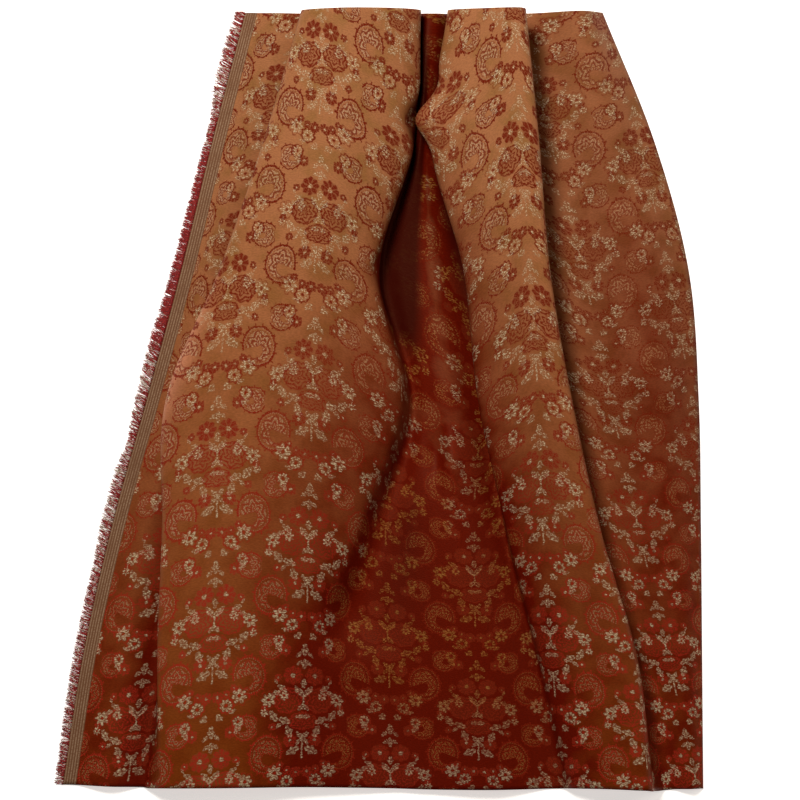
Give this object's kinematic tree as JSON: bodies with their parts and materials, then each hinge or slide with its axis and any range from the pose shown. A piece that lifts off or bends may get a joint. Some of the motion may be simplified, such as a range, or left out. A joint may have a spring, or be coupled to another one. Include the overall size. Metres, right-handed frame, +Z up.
{
  "type": "folded brocade cloth length",
  "caption": "Cut length of floral brocade with a fringed selvedge, lying in soft lengthwise folds that spread from a gathered end.",
  "frame": {"origin": "centre of the part's rectangle on the surface it lies on", "axes": "+X from the selvedge to the cut side, +Y along the folds to the gathered end, +Z up from the surface"},
  "size_m": [0.5906, 0.7036, 0.0615],
  "materials": {
    "brocade": "satin brocade, copper ground with red and gold figures",
    "weft_fringe": "cut weft threads, matte"
  },
  "bodies": {
    "root": {"brocade_cloth": "brocade", "selvedge_fringe": "weft_fringe"}
  },
  "joints": []
}
